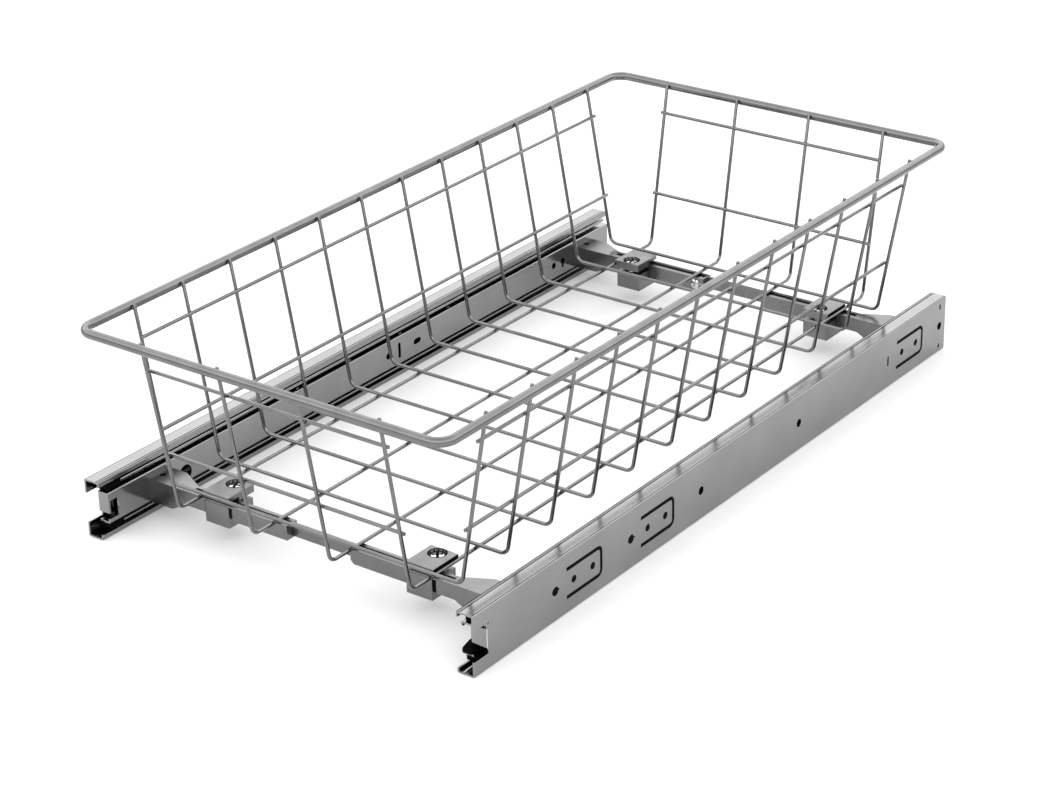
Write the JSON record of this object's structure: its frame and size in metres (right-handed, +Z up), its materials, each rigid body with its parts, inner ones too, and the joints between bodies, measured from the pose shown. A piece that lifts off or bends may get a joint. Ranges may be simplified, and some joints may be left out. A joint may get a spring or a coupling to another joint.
{
  "type": "pull-out cabinet basket",
  "caption": "Rectangular wire basket on two full-extension ball slides, pulled out of a cabinet; cross bars with screw clamps carry the basket.",
  "frame": {"origin": "on the surface that the slides stand on, under the middle of the basket's rim", "axes": "+X to the basket's right seen from the front, +Y into the cabinet, +Z up; the basket pulls out along -Y"},
  "size_m": [0.249, 0.4714, 0.1222],
  "materials": {
    "basket_wire": "bright chrome plating",
    "slide_steel": "satin zinc plating",
    "bar_steel": "grey powder coat",
    "clamp_metal": "grey coated die casting",
    "screw_steel": "bright plated",
    "ball_steel": "polished",
    "black_plastic": "moulded"
  },
  "bodies": {
    "cabinet_channels": {"outer_member_left": "slide_steel", "outer_member_right": "slide_steel"},
    "basket": {"bracket_rivets_left": "screw_steel", "bracket_rivets_right": "screw_steel", "clamp_block_front_left": "clamp_metal", "clamp_block_front_right": "clamp_metal", "clamp_block_rear_left": "clamp_metal", "clamp_block_rear_right": "clamp_metal", "clamp_plate_front_left": "clamp_metal", "clamp_plate_front_right": "clamp_metal", "clamp_plate_rear_left": "clamp_metal", "clamp_plate_rear_right": "clamp_metal", "clamp_screw_front_left": "screw_steel", "clamp_screw_front_right": "screw_steel", "clamp_screw_rear_left": "screw_steel", "clamp_screw_rear_right": "screw_steel", "cross_wire_1": "basket_wire", "cross_wire_10": "basket_wire", "cross_wire_11": "basket_wire", "cross_wire_12": "basket_wire", "cross_wire_2": "basket_wire", "cross_wire_3": "basket_wire", "cross_wire_4": "basket_wire", "cross_wire_5": "basket_wire", "cross_wire_6": "basket_wire", "cross_wire_7": "basket_wire", "cross_wire_8": "basket_wire", "cross_wire_9": "basket_wire", "end_wall_wires_front": "basket_wire", "end_wall_wires_rear": "basket_wire", "front_bar_arm_left": "bar_steel", "front_bar_arm_right": "bar_steel", "front_bar_lock_screw": "screw_steel", "front_bar_strip": "bar_steel", "front_catch_right": "black_plastic", "inner_member_left": "slide_steel", "inner_member_right": "slide_steel", "long_wire_1": "basket_wire", "long_wire_2": "basket_wire", "long_wire_3": "basket_wire", "long_wire_4": "basket_wire", "rear_bar_arm_left": "bar_steel", "rear_bar_arm_right": "bar_steel", "rear_bar_lock_screw": "screw_steel", "rear_bar_strip": "bar_steel", "rim_wire": "basket_wire", "side_wall_wires_left": "basket_wire", "side_wall_wires_right": "basket_wire"},
    "middle_channel_left": {"middle_member_left": "slide_steel", "front_buffers_left": "black_plastic"},
    "outer_cage_left": {"outer_ball_cage_left": "black_plastic", "outer_balls_left": "ball_steel"},
    "inner_cage_left": {"inner_ball_cage_left": "black_plastic", "inner_balls_left": "ball_steel"},
    "middle_channel_right": {"middle_member_right": "slide_steel", "front_buffers_right": "black_plastic"},
    "outer_cage_right": {"outer_ball_cage_right": "black_plastic", "outer_balls_right": "ball_steel"},
    "inner_cage_right": {"inner_ball_cage_right": "black_plastic", "inner_balls_right": "ball_steel"}
  },
  "joints": [
    {"name": "pull_out", "type": "slide", "parent": "cabinet_channels", "child": "basket", "axis": [0, -1, 0], "range_m": [0, 0.45]},
    {"name": "middle_channel_left_slide", "type": "slide", "parent": "cabinet_channels", "child": "middle_channel_left", "axis": [0, -1, 0], "range_m": [0, 0.225]},
    {"name": "outer_cage_left_slide", "type": "slide", "parent": "cabinet_channels", "child": "outer_cage_left", "axis": [0, -1, 0], "range_m": [0, 0.1125]},
    {"name": "inner_cage_left_slide", "type": "slide", "parent": "cabinet_channels", "child": "inner_cage_left", "axis": [0, -1, 0], "range_m": [0, 0.3375]},
    {"name": "middle_channel_right_slide", "type": "slide", "parent": "cabinet_channels", "child": "middle_channel_right", "axis": [0, -1, 0], "range_m": [0, 0.225]},
    {"name": "outer_cage_right_slide", "type": "slide", "parent": "cabinet_channels", "child": "outer_cage_right", "axis": [0, -1, 0], "range_m": [0, 0.1125]},
    {"name": "inner_cage_right_slide", "type": "slide", "parent": "cabinet_channels", "child": "inner_cage_right", "axis": [0, -1, 0], "range_m": [0, 0.3375]}
  ],
  "couplings": [
    {"joint": "middle_channel_left_slide", "follows": "pull_out", "ratio": 0.5},
    {"joint": "outer_cage_left_slide", "follows": "pull_out", "ratio": 0.25},
    {"joint": "inner_cage_left_slide", "follows": "pull_out", "ratio": 0.75},
    {"joint": "middle_channel_right_slide", "follows": "pull_out", "ratio": 0.5},
    {"joint": "outer_cage_right_slide", "follows": "pull_out", "ratio": 0.25},
    {"joint": "inner_cage_right_slide", "follows": "pull_out", "ratio": 0.75}
  ]
}
